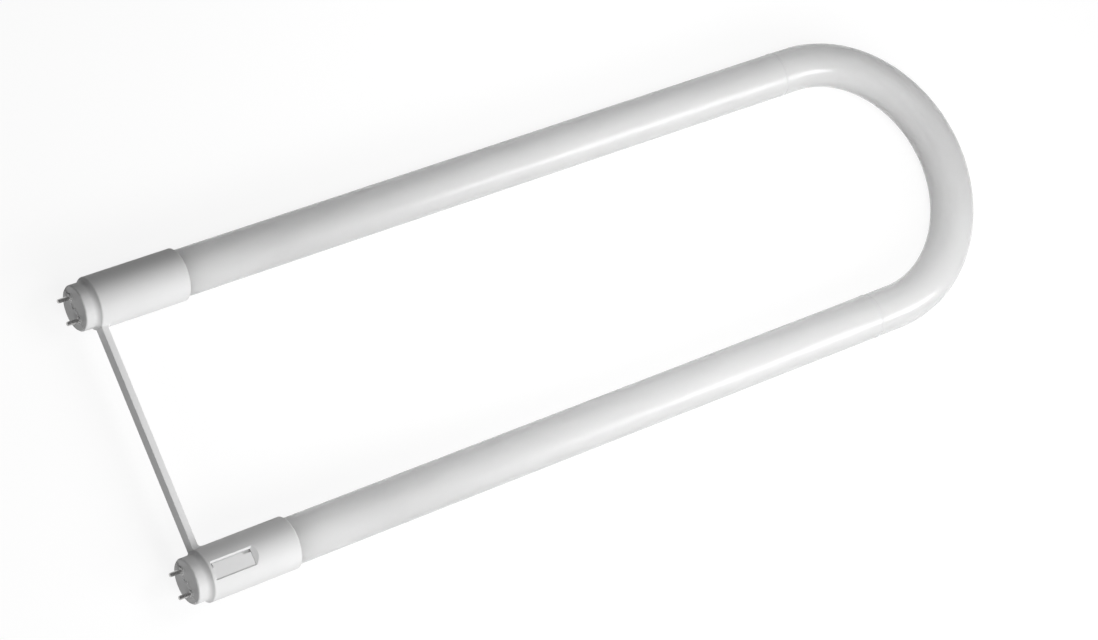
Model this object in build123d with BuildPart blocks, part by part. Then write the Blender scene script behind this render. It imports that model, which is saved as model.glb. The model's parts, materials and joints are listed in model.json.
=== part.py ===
from build123d import *
import os
from math import radians, sqrt, tan

# A U-bend LED tube lying flat, its two legs along X and its pins towards -X. All sizes in mm.

# U-shaped glass tube
leg_spacing = 152.4
tube_diameter = 25.7
glass_wall = 1.1
bend_reach = 565.0
mould_ring_height = 0.25
mould_ring_width = 1.6
plain_leg_ring_setback = 12.4
driver_leg_ring_setback = 18.7

# End caps
face_plate = 2.2
face_pad_height = 0.5
face_pad_jog = 2.6
neck_step = 1.9
neck_length = 8.2
neck_wall = 2.1
neck_edge_round = 0.9
shoulder_cove_length = 3.0
sleeve_wall = 1.5
sleeve_front_round = 0.4
sleeve_rear_chamfer = 0.5
cap_length = 60.8
neck_bore_depth = 10.5
glass_stop_depth = 36.0
glass_stop_land = 0.95
glass_clearance = 0.15

# Contact pins
pin_spacing = 12.7
pin_diameter = 2.35
pin_reach = 7.4
pin_tip_round = 0.7
pin_shank_diameter = 2.7
pin_shank_taper = 0.3
pin_tail = 4.0
pin_tail_diameter = 2.0
pin_collar_diameter = 4.6
pin_collar_height = 0.4
pin_hole_clearance = 0.05

# Brace between the caps
brace_thickness = 3.8
brace_height = 8.0
brace_edge_round = 0.4
brace_flare = 1.4
brace_key_depth = 1.5
brace_key_clearance = 0.05

# Recess on one cap, its three sloping banks, and the flat cover let into its floor
recess_start = 10.2
recess_length = 23.6
recess_width = 8.8
recess_offset = 0.9
recess_depth = 1.3
recess_bank_angle = 25.0
cover_thickness = 0.5
cover_gap = 0.25
latch_slot_length = 4.8
latch_slot_width = 1.9
catch_slot_length = 1.2
catch_slot_width = 2.4
cover_slot_depth = 2.0

# Light boards and their emitters
board_width = 9.0
board_thickness = 1.0
board_seat_gap = 0.05
board_bend_setback = 6.0
driven_board_start = 13.0
far_board_start = 38.0
emitter_length = 3.5
emitter_width = 2.8
emitter_height = 0.7
emitter_pitch = 12.0
emitter_end_margin = 8.0

# Wires
wire_diameter = 1.2
link_wire_spread = 4.0
link_wire_lap = 4.0
lead_wire_lap = 3.0

# Driver inside the cap with the recess
driver_start = 11.5
driver_length = 23.5
driver_thickness = 1.6
driver_edge_gap = 0.05
capacitor_diameter = 7.5
capacitor_length = 12.0
capacitor_inset = 10.5
inductor_diameter = 7.5
inductor_height = 7.0
inductor_waist_diameter = 5.0
inductor_flange = 1.2
rectifier_length = 6.0
rectifier_width = 5.0
rectifier_height = 2.4
chip_length = 5.0
chip_width = 4.0
chip_height = 1.5
component_offset = 5.0
header_pin_diameter = 0.8
header_pin_spacing = 2.54
header_inset = 6.0

# Derived positions
leg_y = leg_spacing / 2
tube_radius = tube_diameter / 2
bore_radius = tube_radius - glass_wall
sleeve_radius = tube_radius + glass_clearance + sleeve_wall
neck_radius = sleeve_radius - neck_step
axis_z = sleeve_radius
face_x = (pin_reach - bend_reach) / 2
cavity_radius = tube_radius - glass_stop_land
glass_end_x = face_x + glass_stop_depth
bend_x = face_x + bend_reach - tube_radius - leg_y
shoulder_x = face_x + neck_length
cove_rise = neck_step - sleeve_front_round
front_round_run = sleeve_front_round * shoulder_cove_length / cove_rise
key_floor = sleeve_radius - brace_key_depth
recess_x = face_x + recess_start + recess_length / 2
recess_y = -(leg_y + recess_offset)
recess_floor_z = axis_z + sleeve_radius - recess_depth
bank_height = 2 * recess_depth
bank_run = bank_height / tan(radians(recess_bank_angle))
cover_z = recess_floor_z - cover_thickness
board_z = axis_z - sqrt(bore_radius**2 - (board_width / 2) ** 2) + board_seat_gap
board_top_z = board_z + board_thickness
board_end_x = bend_x - board_bend_setback
driver_x = face_x + driver_start
driver_top_z = axis_z - wire_diameter / 2
driver_z = driver_top_z - driver_thickness
driver_width = 2 * (sqrt(cavity_radius**2 - (axis_z - driver_z) ** 2) - driver_edge_gap)

os.makedirs("parts", exist_ok=True)


def cap_shell(side):
    """A hollow cap on the leg at side * leg_y, with its face pad, pin holes and brace keyway."""
    leg_axis = Axis((face_x, side * leg_y, axis_z), (1, 0, 0))
    face = Plane(origin=(face_x, side * leg_y, axis_z), x_dir=(0, 1, 0), z_dir=(1, 0, 0))
    with BuildPart() as cap:
        # Half section: neck, cove and sleeve outside, glass seat and wiring space inside
        with BuildSketch(Plane(origin=(face_x, side * leg_y, axis_z))):
            with BuildLine():
                Line((0, 0), (0, neck_radius - neck_edge_round))
                TangentArc(
                    (0, neck_radius - neck_edge_round), (neck_edge_round, neck_radius), tangent=(0, 1)
                )
                neck_line = Line(
                    (neck_edge_round, neck_radius), (neck_length - shoulder_cove_length, neck_radius)
                )
                cove = TangentArc(
                    neck_line @ 1, (neck_length, neck_radius + cove_rise), tangent=neck_line % 1
                )
                front_round = TangentArc(
                    cove @ 1, (neck_length + front_round_run, sleeve_radius), tangent=cove % 1
                )
                Polyline(
                    front_round @ 1,
                    (cap_length - sleeve_rear_chamfer, sleeve_radius),
                    (cap_length, sleeve_radius - sleeve_rear_chamfer),
                    (cap_length, tube_radius + glass_clearance),
                    (glass_stop_depth, tube_radius + glass_clearance),
                    (glass_stop_depth, cavity_radius),
                    (neck_bore_depth, cavity_radius),
                    (neck_bore_depth, neck_radius - neck_wall),
                    (face_plate, neck_radius - neck_wall),
                    (face_plate, 0),
                    (0, 0),
                )
            make_face()
        revolve(axis=leg_axis)

        # Raised pad on the lower half of the end face, its edge stepping between the pins
        with BuildSketch(face):
            Circle(neck_radius - neck_edge_round)
            with BuildLine():
                Polyline(
                    (-neck_radius, -neck_radius),
                    (neck_radius, -neck_radius),
                    (neck_radius, -face_pad_jog / 2),
                    (0, -face_pad_jog / 2),
                    (0, face_pad_jog / 2),
                    (-neck_radius, face_pad_jog / 2),
                    close=True,
                )
            make_face(mode=Mode.INTERSECT)
        extrude(amount=-face_pad_height)

        # A collar round each pin, then the pin holes
        with BuildSketch(face):
            with GridLocations(pin_spacing, 0, 2, 1):
                Circle(pin_collar_diameter / 2)
        extrude(amount=-(face_pad_height + pin_collar_height))
        with BuildSketch(face.offset(-(face_pad_height + pin_collar_height))):
            with GridLocations(pin_spacing, 0, 2, 1):
                Circle(pin_shank_diameter / 2 + pin_hole_clearance)
        extrude(amount=face_pad_height + pin_collar_height + face_plate, mode=Mode.SUBTRACT)

        # Keyway for the brace, open to the front of the shoulder
        with BuildSketch(Plane(origin=(shoulder_x, 0, axis_z), x_dir=(0, 1, 0), z_dir=(1, 0, 0))):
            Rectangle(2 * (leg_y - key_floor), brace_height + 2 * brace_key_clearance)
        extrude(amount=brace_thickness + brace_key_clearance, mode=Mode.SUBTRACT)
    return cap.part


# Frosted glass tube, bent once into a U, with a faint mould ring before each end of the bend
with BuildPart() as glass_tube:
    with BuildLine():
        leg_out = Line((glass_end_x, leg_y, axis_z), (bend_x, leg_y, axis_z))
        bend = TangentArc(leg_out @ 1, (bend_x, -leg_y, axis_z), tangent=leg_out % 1)
        Line(bend @ 1, (glass_end_x, -leg_y, axis_z))
    with BuildSketch(Plane(origin=leg_out @ 0, z_dir=leg_out % 0)):
        Circle(tube_radius)
        Circle(bore_radius, mode=Mode.SUBTRACT)
    sweep()
    for ring_y, ring_setback in ((leg_y, plain_leg_ring_setback), (-leg_y, driver_leg_ring_setback)):
        ring_centre = (bend_x - ring_setback, ring_y, axis_z)
        with BuildSketch(Plane(origin=ring_centre)):
            with BuildLine():
                ring_foot = tube_radius - glass_wall / 2
                Polyline(
                    (-mould_ring_width / 2, tube_radius),
                    (-mould_ring_width / 2, ring_foot),
                    (mould_ring_width / 2, ring_foot),
                    (mould_ring_width / 2, tube_radius),
                )
                ThreePointArc(
                    (mould_ring_width / 2, tube_radius),
                    (0, tube_radius + mould_ring_height),
                    (-mould_ring_width / 2, tube_radius),
                )
            make_face()
        revolve(axis=Axis(ring_centre, (1, 0, 0)))
glass_tube.part.label = "glass_tube"
export_step(glass_tube.part, "parts/glass_tube.step")

# Plain cap
with BuildPart() as plain_cap:
    add(cap_shell(1))
plain_cap.part.label = "plain_cap"
export_step(plain_cap.part, "parts/plain_cap.step")

# Driver cap, with a flat recess along its top: upright at the neck end, banked on the other sides
with BuildPart() as driver_cap:
    add(cap_shell(-1))
    with BuildSketch(Plane(origin=(recess_x, recess_y, recess_floor_z))):
        Rectangle(recess_length, recess_width)
    with BuildSketch(Plane(origin=(recess_x + bank_run / 2, recess_y, recess_floor_z + bank_height))):
        Rectangle(recess_length + bank_run, recess_width + 2 * bank_run)
    loft(mode=Mode.SUBTRACT)
    with BuildSketch(Plane(origin=(recess_x, recess_y, recess_floor_z))):
        Rectangle(recess_length, recess_width)
    extrude(amount=-cover_thickness, mode=Mode.SUBTRACT)

    # Latch slot and catch slot through the wall, at the cover's two corners on the side of the brace
    with BuildSketch(Plane(origin=(recess_x, recess_y, cover_z))):
        with Locations((recess_length / 2, recess_width / 2)):
            Rectangle(latch_slot_length, latch_slot_width, align=(Align.MAX, Align.MAX))
        with Locations((-recess_length / 2, recess_width / 2)):
            Rectangle(catch_slot_length, catch_slot_width, align=(Align.MIN, Align.MAX))
    extrude(amount=-cover_slot_depth, mode=Mode.SUBTRACT)
driver_cap.part.label = "driver_cap"
export_step(driver_cap.part, "parts/driver_cap.step")

# Flat cover let into the recess floor, cut away over both slots
with BuildPart() as recess_cover:
    cover_end = recess_length / 2 - cover_gap
    cover_side = recess_width / 2 - cover_gap
    latch_edge = (recess_length / 2 - latch_slot_length, recess_width / 2 - latch_slot_width)
    catch_edge = (-recess_length / 2 + catch_slot_length, recess_width / 2 - catch_slot_width)
    with BuildSketch(Plane(origin=(recess_x, recess_y, cover_z))):
        with BuildLine():
            Polyline(
                (-cover_end, -cover_side),
                (cover_end, -cover_side),
                (cover_end, latch_edge[1]),
                latch_edge,
                (latch_edge[0], cover_side),
                (catch_edge[0], cover_side),
                catch_edge,
                (-cover_end, catch_edge[1]),
                close=True,
            )
        make_face()
    extrude(amount=cover_thickness)
recess_cover.part.label = "recess_cover"
export_step(recess_cover.part, "parts/recess_cover.step")

# Brace keyed into both shoulders, flush with their fronts and flared where it meets the sleeves
with BuildPart() as spacer_brace:
    bar_end = leg_y - key_floor
    with BuildSketch(Plane(origin=(shoulder_x, 0, axis_z - brace_height / 2))):
        flare_y = leg_y - sleeve_radius
        with BuildLine():
            Polyline(
                (brace_thickness, flare_y - brace_flare),
                (brace_thickness, -flare_y + brace_flare),
            )
            TangentArc(
                (brace_thickness, -flare_y + brace_flare),
                (brace_thickness + brace_flare, -flare_y),
                tangent=(0, -1),
            )
            Polyline(
                (brace_thickness + brace_flare, -flare_y),
                (brace_thickness + brace_flare, -bar_end),
                (0, -bar_end),
                (0, bar_end),
                (brace_thickness + brace_flare, bar_end),
                (brace_thickness + brace_flare, flare_y),
            )
            TangentArc(
                (brace_thickness, flare_y - brace_flare),
                (brace_thickness + brace_flare, flare_y),
                tangent=(0, 1),
            )
        make_face()
    extrude(amount=brace_height)
    long_edges = edges().filter_by(Axis.Y).filter_by(lambda e: e.length > leg_spacing / 2)
    fillet(long_edges, radius=brace_edge_round)
    with BuildSketch(Plane(origin=(shoulder_x, 0, axis_z), x_dir=(0, 1, 0), z_dir=(1, 0, 0))):
        with GridLocations(leg_spacing, 0, 2, 1):
            Circle(sleeve_radius)
    extrude(amount=brace_thickness + brace_flare, mode=Mode.SUBTRACT)
    with BuildSketch(Plane(origin=(shoulder_x, 0, axis_z), x_dir=(0, 1, 0), z_dir=(1, 0, 0))):
        Rectangle(2 * bar_end, brace_height - 2 * brace_edge_round)
    extrude(amount=brace_thickness)
spacer_brace.part.label = "spacer_brace"
export_step(spacer_brace.part, "parts/spacer_brace.step")

# Four contact pins, two in each cap
pin_rows = {
    "plain_pin_outer": leg_y + pin_spacing / 2,
    "plain_pin_inner": leg_y - pin_spacing / 2,
    "driver_pin_inner": -leg_y + pin_spacing / 2,
    "driver_pin_outer": -leg_y - pin_spacing / 2,
}
for pin_name, pin_y in pin_rows.items():
    with BuildPart() as contact_pin:
        # Half section from the rounded tip, through the shank in the cap, to the solder tail
        shank_start = -(face_pad_height + pin_collar_height)
        with BuildSketch(Plane(origin=(face_x, pin_y, axis_z))):
            with BuildLine():
                Line((-pin_reach, 0), (-pin_reach, pin_diameter / 2 - pin_tip_round))
                TangentArc(
                    (-pin_reach, pin_diameter / 2 - pin_tip_round),
                    (-pin_reach + pin_tip_round, pin_diameter / 2),
                    tangent=(0, 1),
                )
                Polyline(
                    (-pin_reach + pin_tip_round, pin_diameter / 2),
                    (shank_start - pin_shank_taper, pin_diameter / 2),
                    (shank_start, pin_shank_diameter / 2),
                    (face_plate, pin_shank_diameter / 2),
                    (face_plate, pin_tail_diameter / 2),
                    (face_plate + pin_tail, pin_tail_diameter / 2),
                    (face_plate + pin_tail, 0),
                    (-pin_reach, 0),
                )
            make_face()
        revolve(axis=Axis((face_x, pin_y, axis_z), (1, 0, 0)))
    contact_pin.part.label = pin_name
    export_step(contact_pin.part, "parts/" + pin_name + ".step")

# A light board along the foot of each leg, with its row of emitters on top
board_rows = {"driven": (-leg_y, driven_board_start), "far": (leg_y, far_board_start)}
for board_name, (board_y, board_start) in board_rows.items():
    with BuildPart() as light_board:
        with BuildSketch(Plane(origin=(face_x + board_start, board_y, board_z))):
            Rectangle(
                board_end_x - face_x - board_start, board_width, align=(Align.MIN, Align.CENTER)
            )
        extrude(amount=board_thickness)
    light_board.part.label = board_name + "_light_board"
    export_step(light_board.part, "parts/" + board_name + "_light_board.step")

    emitter_start = face_x + cap_length + emitter_end_margin
    emitter_run = board_end_x - emitter_end_margin - emitter_start
    emitter_count = int(emitter_run // emitter_pitch) + 1
    with BuildPart() as emitter_row:
        with BuildSketch(Plane(origin=(emitter_start + emitter_run / 2, board_y, board_top_z))):
            with GridLocations(emitter_pitch, 0, emitter_count, 1):
                Rectangle(emitter_length, emitter_width)
        extrude(amount=emitter_height)
    emitter_row.part.label = board_name + "_emitters"
    export_step(emitter_row.part, "parts/" + board_name + "_emitters.step")

# Two wires that link the light boards round the bend
link_rows = {"link_wire_outer": leg_y + link_wire_spread / 2, "link_wire_inner": leg_y - link_wire_spread / 2}
for wire_name, wire_y in link_rows.items():
    with BuildPart() as link_wire:
        wire_z = board_top_z + wire_diameter / 2
        with BuildLine():
            run_out = Line((board_end_x - link_wire_lap, wire_y, wire_z), (bend_x, wire_y, wire_z))
            turn = TangentArc(run_out @ 1, (bend_x, -wire_y, wire_z), tangent=run_out % 1)
            Line(turn @ 1, (board_end_x - link_wire_lap, -wire_y, wire_z))
        with BuildSketch(Plane(origin=run_out @ 0, z_dir=run_out % 0)):
            Circle(wire_diameter / 2)
        sweep()
    link_wire.part.label = wire_name
    export_step(link_wire.part, "parts/" + wire_name + ".step")

# Driver board across the cap, fed by two lead wires from the pin tails
with BuildPart() as driver_board:
    with BuildSketch(Plane(origin=(driver_x, -leg_y, driver_z))):
        Rectangle(driver_length, driver_width, align=(Align.MIN, Align.CENTER))
    extrude(amount=driver_thickness)
driver_board.part.label = "driver_board"
export_step(driver_board.part, "parts/driver_board.step")

lead_start_x = face_x + face_plate + pin_tail
for lead_name in ("inner", "outer"):
    with BuildPart() as lead_wire:
        with BuildSketch(
            Plane(
                origin=(lead_start_x, pin_rows["driver_pin_" + lead_name], axis_z),
                x_dir=(0, 1, 0),
                z_dir=(1, 0, 0),
            )
        ):
            Circle(wire_diameter / 2)
        extrude(amount=driver_x + lead_wire_lap - lead_start_x)
    lead_wire.part.label = "lead_wire_" + lead_name
    export_step(lead_wire.part, "parts/lead_wire_" + lead_name + ".step")

# Parts on the driver board
component_x = driver_x + capacitor_inset
with BuildPart() as capacitor:
    with BuildSketch(
        Plane(
            origin=(component_x, -leg_y + component_offset, driver_top_z + capacitor_diameter / 2),
            x_dir=(0, 1, 0),
            z_dir=(1, 0, 0),
        )
    ):
        Circle(capacitor_diameter / 2)
    extrude(amount=capacitor_length)
capacitor.part.label = "capacitor"
export_step(capacitor.part, "parts/capacitor.step")

with BuildPart() as inductor:
    inductor_y = -leg_y - component_offset
    inductor_x = component_x + inductor_diameter / 2
    for flange_z in (driver_top_z, driver_top_z + inductor_height - inductor_flange):
        with BuildSketch(Plane(origin=(inductor_x, inductor_y, flange_z))):
            Circle(inductor_diameter / 2)
        extrude(amount=inductor_flange)
    with BuildSketch(Plane(origin=(inductor_x, inductor_y, driver_top_z))):
        Circle(inductor_waist_diameter / 2)
    extrude(amount=inductor_height)
inductor.part.label = "inductor"
export_step(inductor.part, "parts/inductor.step")

with BuildPart() as rectifier:
    with BuildSketch(Plane(origin=(driver_x + lead_wire_lap + rectifier_length / 2, -leg_y, driver_top_z))):
        Rectangle(rectifier_length, rectifier_width)
    extrude(amount=rectifier_height)
rectifier.part.label = "rectifier"
export_step(rectifier.part, "parts/rectifier.step")

with BuildPart() as control_chip:
    with BuildSketch(
        Plane(origin=(driver_x + driver_length, -leg_y - component_offset, driver_top_z))
    ):
        Rectangle(chip_length, chip_width, align=(Align.MAX, Align.CENTER))
    extrude(amount=chip_height)
control_chip.part.label = "control_chip"
export_step(control_chip.part, "parts/control_chip.step")

# Two header pins that join the driver board to the light board below it
with BuildPart() as header_pins:
    with BuildSketch(Plane(origin=(driver_x + header_inset, -leg_y, board_top_z))):
        with GridLocations(0, header_pin_spacing, 1, 2):
            Circle(header_pin_diameter / 2)
    extrude(amount=driver_z - board_top_z)
header_pins.part.label = "header_pins"
export_step(header_pins.part, "parts/header_pins.step")
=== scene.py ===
import json
import math

import bpy
from mathutils import Matrix, Vector


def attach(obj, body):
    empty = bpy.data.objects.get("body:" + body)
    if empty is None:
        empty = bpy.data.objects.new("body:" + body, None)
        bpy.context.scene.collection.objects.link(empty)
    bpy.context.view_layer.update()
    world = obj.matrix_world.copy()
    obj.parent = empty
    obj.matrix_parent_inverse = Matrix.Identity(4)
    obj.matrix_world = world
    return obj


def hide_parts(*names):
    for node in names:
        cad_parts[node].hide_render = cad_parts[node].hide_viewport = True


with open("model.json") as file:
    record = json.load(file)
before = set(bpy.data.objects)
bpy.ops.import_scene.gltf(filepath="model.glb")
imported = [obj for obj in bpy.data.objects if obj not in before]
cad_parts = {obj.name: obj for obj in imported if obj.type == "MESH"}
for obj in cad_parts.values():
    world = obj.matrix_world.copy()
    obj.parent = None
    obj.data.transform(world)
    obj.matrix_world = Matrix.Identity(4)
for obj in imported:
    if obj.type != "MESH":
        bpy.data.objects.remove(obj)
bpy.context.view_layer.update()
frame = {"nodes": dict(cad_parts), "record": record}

nodes = frame["nodes"]

# Picture and camera
IMAGE_WIDTH_PX = 1098
FOCAL_PX = 3208.16
SENSOR_MM = 36.0
CAMERA_AT = Vector((-0.90846, -0.16356, 1.54515))
CAMERA_AZIMUTH_DEG = -80.423
CAMERA_ELEVATION_DEG = 59.545
CAMERA_ROLL_DEG = 58.798
CAMERA_NEAR_M = 0.05
CAMERA_FAR_M = 50.0

# Floor and sky
FLOOR_HALF_M = 8.0
FLOOR_SEEN = 0.16
FLOOR_BOUNCE = 0.12
FLOOR_GLOW = 0.87
SKY_SEEN = 1.0
SKY_FILL = 0.04
CEILING_SEEN = 0.26
HORIZON_TOP = 0.26
CEILING_FOOT = 0.57

# Lamps: place, aim, width and height in metres, power in watts
LAMP_AIM = Vector((0.0, 0.0, 0.0))
FILL_LAMPS = {
    "front": (Vector((0.10, -0.50, 0.35)), LAMP_AIM, (1.2, 0.3), 1.3),
    "far_front": (Vector((0.40, -1.60, 0.70)), LAMP_AIM, (1.0, 0.8), 12.0),
    "key": (Vector((-0.30, -0.80, 0.80)), LAMP_AIM, (0.6, 0.6), 2.8),
    "side": (Vector((1.30, -1.20, 0.50)), LAMP_AIM, (1.0, 0.8), 3.0),
    "back": (Vector((0.60, 1.40, 0.80)), LAMP_AIM, (1.6, 1.0), 2.2),
    "left": (Vector((-1.50, -0.55, 0.40)), LAMP_AIM, (1.0, 0.7), 4.4),
    "over": (Vector((0.05, 0.00, 0.38)), Vector((0.12, -0.10, 0.0)), (0.3, 0.2), 1.06),
}
STREAK_LAMP = (Vector((1.10, -1.04, 0.86)), LAMP_AIM, (0.75, 0.5), 7.2)

# Glass tube; the mould ring's steps are in half-widths, with one past each foot to keep the leg straight
TUBE_RADIUS = 0.01285
LEG_Y = 0.0762
AXIS_Z = 0.0145
BEND_X = 0.19715
GLASS_END_X = -0.2428
RING_X = {1: 0.18475, -1: 0.17845}
MOULD_RING_HALF = 0.0008
MOULD_RING_HEIGHT = 0.00025
RING_STEPS = (-1.4, -1, -0.75, -0.5, -0.25, 0, 0.25, 0.5, 0.75, 1, 1.4)
AROUND = 96
LEG_STEPS = 12
BEND_STEPS = 120

# Look of the glass
GLASS_DARK = (0.94, 0.94, 0.94)
GLASS_LIGHT = (0.97, 0.97, 0.97)
LEG_ROUGH = (0.18, 0.24)
BEND_ROUGH = (0.09, 0.13)
GLOSS_CHANGE_HALF_M = 0.003
GLASS_IOR = 1.5
GLASS_SCATTER_M = 0.130
CAP_SCATTER_M = 0.080
CAP_MOUTH_X = -0.218
CAP_SHADE_M = 0.060
GLASS_BROAD_GRAIN = 18.0
GLASS_FINE_GRAIN = 1100.0
GLASS_BUMP = 0.12
GLASS_BUMP_M = 0.00001

# Look of the other pieces: darkest and lightest colour, roughness from and to, and how far it is metal
FINISHES = {
    "cap_plastic": ((0.715, 0.715, 0.715), (0.745, 0.745, 0.745), (0.46, 0.56), 0.0),
    "cover_plastic": ((0.75, 0.75, 0.75), (0.78, 0.78, 0.78), (0.40, 0.50), 0.0),
    "pin_metal": ((0.48, 0.475, 0.47), (0.60, 0.595, 0.59), (0.22, 0.32), 1.0),
    "board_white": ((0.84, 0.84, 0.81), (0.90, 0.90, 0.88), (0.40, 0.55), 0.0),
    "emitter_yellow": ((0.86, 0.66, 0.16), (0.93, 0.76, 0.26), (0.20, 0.35), 0.0),
    "wire_white": ((0.82, 0.82, 0.80), (0.88, 0.88, 0.86), (0.30, 0.42), 0.0),
    "wire_black": ((0.02, 0.02, 0.02), (0.04, 0.04, 0.04), (0.30, 0.42), 0.0),
    "driver_green": ((0.02, 0.16, 0.06), (0.04, 0.24, 0.10), (0.35, 0.5), 0.0),
    "component_black": ((0.02, 0.02, 0.022), (0.045, 0.045, 0.05), (0.45, 0.6), 0.0),
    "capacitor_sleeve": ((0.03, 0.035, 0.06), (0.05, 0.06, 0.10), (0.22, 0.34), 0.0),
    "ferrite": ((0.05, 0.05, 0.05), (0.09, 0.09, 0.09), (0.55, 0.7), 0.0),
    "header_metal": ((0.62, 0.48, 0.20), (0.74, 0.60, 0.30), (0.25, 0.4), 1.0),
}
# A paler copy of the caps' plastic for the brace: painted light on the brace's top
BRACE_PAINTED_LIGHT_FINISH = ((0.85, 0.85, 0.85), (0.88, 0.88, 0.88), (0.46, 0.56), 0.0)
BROAD_GRAIN = 75.0
FINE_GRAIN = 900.0
PLAIN_BUMP = 0.25
PLAIN_BUMP_M = 0.00002
BROAD_DETAIL = 2.0
FINE_DETAIL = 3.0

# Latch and catch of the recess cover
COVER_TOP_Z = 0.0277
TONGUE_Z = (0.0260, 0.0264)
LIP_Z = (TONGUE_Z[0], COVER_TOP_Z)
LATCH_X = (-0.2497, -0.2451)
LATCH_Y = (-0.0744, -0.0728)
LATCH_EDGE_Y = -0.0746
CATCH_X = (-0.2685, -0.2676)
CATCH_Y = (-0.0750, -0.0728)
CATCH_EDGE_X = -0.2674
BOX_SIDES = ((0, 2, 3, 1), (4, 5, 7, 6), (0, 1, 5, 4), (2, 6, 7, 3), (0, 4, 6, 2), (1, 3, 7, 5))

# Sockets of the mix node, whose names repeat for each kind of value
MIX_FACTOR = 0
MIX_FLOAT_A, MIX_FLOAT_B, MIX_FLOAT_OUT = 2, 3, 0
MIX_COLOUR_A, MIX_COLOUR_B, MIX_COLOUR_OUT = 6, 7, 2


def add_object(name, data):
    """A new object in the scene."""
    made = bpy.data.objects.new(name, data)
    bpy.context.scene.collection.objects.link(made)
    return made


def new_material(name):
    """A node material that holds only a principled shader, with its tree and that shader."""
    material = bpy.data.materials.new(name)
    material.use_nodes = True
    tree = material.node_tree
    tree.nodes.clear()
    out = tree.nodes.new("ShaderNodeOutputMaterial")
    shader = tree.nodes.new("ShaderNodeBsdfPrincipled")
    tree.links.new(shader.outputs["BSDF"], out.inputs["Surface"])
    return material, tree, shader


def noise(tree, scale, detail):
    """Noise in the object's own metres."""
    coords = tree.nodes.new("ShaderNodeTexCoord")
    texture = tree.nodes.new("ShaderNodeTexNoise")
    texture.inputs["Scale"].default_value = scale
    texture.inputs["Detail"].default_value = detail
    tree.links.new(coords.outputs["Object"], texture.inputs["Vector"])
    return texture.outputs["Fac"]


def ranged(tree, value, to, start=(0.0, 1.0)):
    """value, mapped from the two ends of start to the two ends of to, and held past them."""
    node = tree.nodes.new("ShaderNodeMapRange")
    node.inputs["From Min"].default_value, node.inputs["From Max"].default_value = start
    node.inputs["To Min"].default_value, node.inputs["To Max"].default_value = to
    tree.links.new(value, node.inputs["Value"])
    return node.outputs["Result"]


def between(tree, factor, a, b):
    """A colour between a and b."""
    mix = tree.nodes.new("ShaderNodeMix")
    mix.data_type = "RGBA"
    mix.inputs[MIX_COLOUR_A].default_value = (*a, 1.0)
    mix.inputs[MIX_COLOUR_B].default_value = (*b, 1.0)
    tree.links.new(factor, mix.inputs[MIX_FACTOR])
    return mix.outputs[MIX_COLOUR_OUT]


def bump(tree, shader, height, strength, distance):
    """A fine unevenness of the shader's surface."""
    node = tree.nodes.new("ShaderNodeBump")
    node.inputs["Strength"].default_value = strength
    node.inputs["Distance"].default_value = distance
    tree.links.new(height, node.inputs["Height"])
    tree.links.new(node.outputs["Normal"], shader.inputs["Normal"])


def plain_material(name, dark, light, rough, metal):
    """A slightly uneven surface: colour from dark to light, roughness from rough[0] to rough[1]."""
    material, tree, shader = new_material(name)
    broad = noise(tree, BROAD_GRAIN, BROAD_DETAIL)
    fine = noise(tree, FINE_GRAIN, FINE_DETAIL)
    tree.links.new(between(tree, broad, dark, light), shader.inputs["Base Color"])
    tree.links.new(ranged(tree, fine, rough), shader.inputs["Roughness"])
    shader.inputs["Metallic"].default_value = metal
    bump(tree, shader, fine, PLAIN_BUMP, PLAIN_BUMP_M)
    return material


def glass_roughness(tree, split, fine):
    """Roughness of the glass, which changes along the slant line through the two mould rings."""
    middle_x = (RING_X[1] + RING_X[-1]) / 2
    past_rings = tree.nodes.new("ShaderNodeMath")
    past_rings.operation = "MULTIPLY_ADD"
    past_rings.inputs[1].default_value = (RING_X[-1] - RING_X[1]) / (2 * LEG_Y)
    tree.links.new(split.outputs["Y"], past_rings.inputs[0])
    tree.links.new(split.outputs["X"], past_rings.inputs[2])
    change = (middle_x - GLOSS_CHANGE_HALF_M, middle_x + GLOSS_CHANGE_HALF_M)
    in_bend = ranged(tree, past_rings.outputs["Value"], (0.0, 1.0), change)
    pick = tree.nodes.new("ShaderNodeMix")
    pick.data_type = "FLOAT"
    tree.links.new(in_bend, pick.inputs[MIX_FACTOR])
    tree.links.new(ranged(tree, fine, LEG_ROUGH), pick.inputs[MIX_FLOAT_A])
    tree.links.new(ranged(tree, fine, BEND_ROUGH), pick.inputs[MIX_FLOAT_B])
    return pick.outputs[MIX_FLOAT_OUT]


def glass_material():
    """Frosted white glass: matte along the legs, glossier round the bend, with less scatter by the caps."""
    material, tree, shader = new_material("frosted_glass")
    coords = tree.nodes.new("ShaderNodeTexCoord")
    split = tree.nodes.new("ShaderNodeSeparateXYZ")
    tree.links.new(coords.outputs["Object"], split.inputs["Vector"])
    broad = noise(tree, GLASS_BROAD_GRAIN, BROAD_DETAIL)
    fine = noise(tree, GLASS_FINE_GRAIN, FINE_DETAIL)
    tree.links.new(between(tree, broad, GLASS_DARK, GLASS_LIGHT), shader.inputs["Base Color"])
    tree.links.new(glass_roughness(tree, split, fine), shader.inputs["Roughness"])
    shader.inputs["IOR"].default_value = GLASS_IOR
    shader.inputs["Subsurface Weight"].default_value = 1.0
    shader.inputs["Subsurface Radius"].default_value = (1.0, 1.0, 1.0)
    by_cap = (CAP_MOUTH_X, CAP_MOUTH_X + CAP_SHADE_M)
    scatter = ranged(tree, split.outputs["X"], (CAP_SCATTER_M, GLASS_SCATTER_M), by_cap)
    tree.links.new(scatter, shader.inputs["Subsurface Scale"])
    bump(tree, shader, fine, GLASS_BUMP, GLASS_BUMP_M)
    return material


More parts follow.
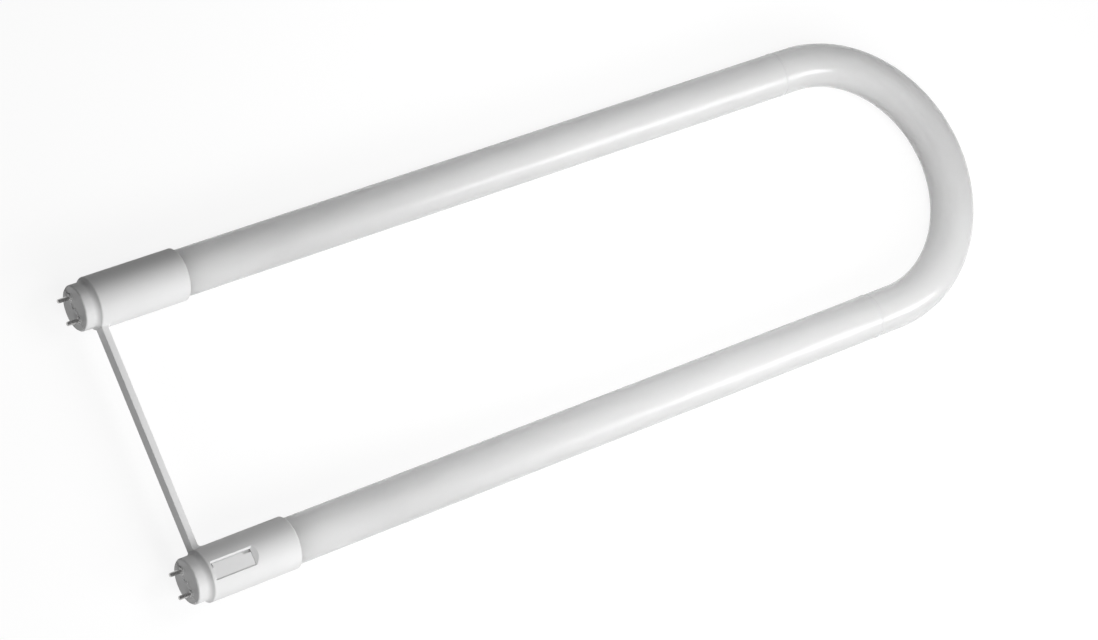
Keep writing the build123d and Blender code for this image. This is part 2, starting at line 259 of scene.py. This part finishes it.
materials = {slot: plain_material(slot, *finish) for slot, finish in FINISHES.items()}
materials["frosted_glass"] = glass_material()
for part in frame["record"]["subparts"]:
    node = nodes[part["node"]]
    node.data.materials.clear()
    node.data.materials.append(materials[part["material_slot"]])

# The brace gets a paler copy of the caps' plastic: painted light that brightens its top to the level the
# lamps don't give it
nodes["spacer_brace"].data.materials[0] = plain_material("brace_plastic_painted_light", *BRACE_PAINTED_LIGHT_FINISH)


def leg_profile(side):
    """Places along one leg from its cap to the bend, each with the glass's rise there."""
    ring_x = RING_X[side]
    plain = [(GLASS_END_X + (ring_x - GLASS_END_X) * k / LEG_STEPS, 0.0) for k in range(LEG_STEPS)]
    ring = [(ring_x + MOULD_RING_HALF * k, MOULD_RING_HEIGHT * max(0.0, 1 - k * k)) for k in RING_STEPS]
    return plain + ring


def glass_stations():
    """Points along the tube's centre line, each with its direction and the tube's radius there."""
    far_leg = [
        (Vector((x, LEG_Y, AXIS_Z)), Vector((1, 0, 0)), TUBE_RADIUS + rise) for x, rise in leg_profile(1)
    ]
    bend = []
    for k in range(BEND_STEPS + 1):
        a = math.pi / 2 - math.pi * k / BEND_STEPS
        here = Vector((BEND_X + LEG_Y * math.cos(a), LEG_Y * math.sin(a), AXIS_Z))
        bend.append((here, Vector((math.sin(a), -math.cos(a), 0)), TUBE_RADIUS))
    near_leg = [
        (Vector((x, -LEG_Y, AXIS_Z)), Vector((-1, 0, 0)), TUBE_RADIUS + rise) for x, rise in leg_profile(-1)
    ]
    return far_leg + bend + near_leg[::-1]


def glass_mesh():
    """The U tube as one smooth skin, closed inside the caps."""
    verts, faces = [], []
    for here, along, radius in glass_stations():
        side = along.cross(Vector((0, 0, 1)))
        for k in range(AROUND):
            a = 2 * math.pi * k / AROUND
            verts.append(here + side * (radius * math.cos(a)) + Vector((0, 0, radius * math.sin(a))))
    rings = len(verts) // AROUND
    for i in range(rings - 1):
        here, ahead = i * AROUND, (i + 1) * AROUND
        for k in range(AROUND):
            n = (k + 1) % AROUND
            faces.append((here + k, here + n, ahead + n, ahead + k))
    faces.append(tuple(range(AROUND - 1, -1, -1)))
    faces.append(tuple(range((rings - 1) * AROUND, rings * AROUND)))
    mesh = bpy.data.meshes.new("glass_skin")
    mesh.from_pydata(verts, [], faces)
    mesh.polygons.foreach_set("use_smooth", [len(f) == 4 for f in faces])
    mesh.update()
    return mesh


glass = add_object("glass_skin", glass_mesh())
glass.data.materials.append(materials["frosted_glass"])
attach(glass, "root")
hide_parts("glass_tube")


def catches_mesh():
    """The cover's latch and catch: a tongue across each slot and a lip along the cover's edge."""
    boxes = (
        (LATCH_X, LATCH_Y, TONGUE_Z),
        (LATCH_X, (LATCH_EDGE_Y, LATCH_Y[0]), LIP_Z),
        (CATCH_X, CATCH_Y, TONGUE_Z),
        ((CATCH_X[1], CATCH_EDGE_X), CATCH_Y, LIP_Z),
    )
    verts, faces = [], []
    for box_x, box_y, box_z in boxes:
        first = len(verts)
        verts += [(x, y, z) for z in box_z for y in box_y for x in box_x]
        faces += [tuple(first + k for k in side) for side in BOX_SIDES]
    mesh = bpy.data.meshes.new("cover_catches")
    mesh.from_pydata(verts, [], faces)
    return mesh


catches = add_object("cover_catches", catches_mesh())
catches.data.materials.append(materials["cover_plastic"])
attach(catches, "root")


def floor_material():
    """Pale floor: nearly white where it is seen or mirrored, darker in the light it throws back."""
    material = bpy.data.materials.new("floor")
    material.use_nodes = True
    tree = material.node_tree
    tree.nodes.clear()
    out = tree.nodes.new("ShaderNodeOutputMaterial")
    path = tree.nodes.new("ShaderNodeLightPath")
    seen = tree.nodes.new("ShaderNodeMath")
    seen.operation = "MAXIMUM"
    tree.links.new(path.outputs["Is Camera Ray"], seen.inputs[0])
    tree.links.new(path.outputs["Is Glossy Ray"], seen.inputs[1])
    pale = tree.nodes.new("ShaderNodeBsdfDiffuse")
    pale.inputs["Color"].default_value = (FLOOR_SEEN, FLOOR_SEEN, FLOOR_SEEN, 1.0)
    glow = tree.nodes.new("ShaderNodeEmission")
    glow.inputs["Strength"].default_value = FLOOR_GLOW
    both = tree.nodes.new("ShaderNodeAddShader")
    tree.links.new(pale.outputs["BSDF"], both.inputs[0])
    tree.links.new(glow.outputs["Emission"], both.inputs[1])
    dim = tree.nodes.new("ShaderNodeBsdfDiffuse")
    dim.inputs["Color"].default_value = (FLOOR_BOUNCE, FLOOR_BOUNCE, FLOOR_BOUNCE, 1.0)
    mix = tree.nodes.new("ShaderNodeMixShader")
    tree.links.new(seen.outputs["Value"], mix.inputs[0])
    tree.links.new(dim.outputs["BSDF"], mix.inputs[1])
    tree.links.new(both.outputs["Shader"], mix.inputs[2])
    tree.links.new(mix.outputs["Shader"], out.inputs["Surface"])
    return material


def floor_mesh():
    """A flat square under the tube."""
    across = (-FLOOR_HALF_M, FLOOR_HALF_M)
    mesh = bpy.data.meshes.new("floor")
    mesh.from_pydata([(x, y, 0) for y in across for x in across], [], [(0, 1, 3, 2)])
    return mesh


floor = add_object("floor", floor_mesh())
floor.data.materials.append(floor_material())


def sky():
    """Pale to the camera, a dim even fill, and in mirrored rays a pale horizon under a dim ceiling."""
    world = bpy.data.worlds.new("studio")
    world.use_nodes = True
    tree = world.node_tree
    tree.nodes.clear()
    out = tree.nodes.new("ShaderNodeOutputWorld")
    path = tree.nodes.new("ShaderNodeLightPath")
    fill = tree.nodes.new("ShaderNodeBackground")
    fill.inputs["Strength"].default_value = SKY_FILL
    pale = tree.nodes.new("ShaderNodeBackground")
    pale.inputs["Strength"].default_value = SKY_SEEN
    coords = tree.nodes.new("ShaderNodeTexCoord")
    split = tree.nodes.new("ShaderNodeSeparateXYZ")
    tree.links.new(coords.outputs["Generated"], split.inputs["Vector"])
    room = tree.nodes.new("ShaderNodeBackground")
    room_light = ranged(tree, split.outputs["Z"], (SKY_SEEN, CEILING_SEEN), (HORIZON_TOP, CEILING_FOOT))
    tree.links.new(room_light, room.inputs["Strength"])
    mirrored = tree.nodes.new("ShaderNodeMixShader")
    tree.links.new(path.outputs["Is Glossy Ray"], mirrored.inputs[0])
    tree.links.new(fill.outputs["Background"], mirrored.inputs[1])
    tree.links.new(room.outputs["Background"], mirrored.inputs[2])
    seen = tree.nodes.new("ShaderNodeMixShader")
    tree.links.new(path.outputs["Is Camera Ray"], seen.inputs[0])
    tree.links.new(mirrored.outputs["Shader"], seen.inputs[1])
    tree.links.new(pale.outputs["Background"], seen.inputs[2])
    tree.links.new(seen.outputs["Shader"], out.inputs["Surface"])
    return world


bpy.context.scene.world = sky()


def softbox(name, place, aim, size, power, mirrored):
    """A flat rectangular lamp that faces its aim, and is or isn't mirrored in the tube."""
    lamp = bpy.data.lights.new(name, "AREA")
    lamp.shape = "RECTANGLE"
    lamp.size, lamp.size_y = size
    lamp.energy = power
    made = add_object(name, lamp)
    made.location = place
    made.visible_glossy = mirrored
    made.rotation_mode = "QUATERNION"
    made.rotation_quaternion = (aim - place).to_track_quat("-Z", "Y")


for lamp_name, lamp in FILL_LAMPS.items():
    softbox(lamp_name, *lamp, False)
softbox("streak", *STREAK_LAMP, True)


def camera_turn():
    """The camera's turn: its right, up and backward directions, after the roll."""
    azimuth = math.radians(CAMERA_AZIMUTH_DEG)
    elevation = math.radians(CAMERA_ELEVATION_DEG)
    roll = math.radians(CAMERA_ROLL_DEG)
    flat = math.cos(elevation)
    back = Vector((math.sin(azimuth) * flat, -math.cos(azimuth) * flat, math.sin(elevation)))
    level = Vector((0, 0, 1)).cross(back).normalized()
    upright = back.cross(level)
    right = level * math.cos(roll) + upright * math.sin(roll)
    up = upright * math.cos(roll) - level * math.sin(roll)
    return Matrix((right, up, back)).transposed().to_4x4()


camera = bpy.data.cameras.new("camera")
camera.sensor_fit = "HORIZONTAL"
camera.sensor_width = SENSOR_MM
camera.lens = FOCAL_PX / IMAGE_WIDTH_PX * SENSOR_MM
camera.clip_start = CAMERA_NEAR_M
camera.clip_end = CAMERA_FAR_M
camera_object = add_object("camera", camera)
camera_object.matrix_world = Matrix.Translation(CAMERA_AT) @ camera_turn()
bpy.context.scene.camera = camera_object

bpy.context.scene.view_settings.view_transform = "Standard"
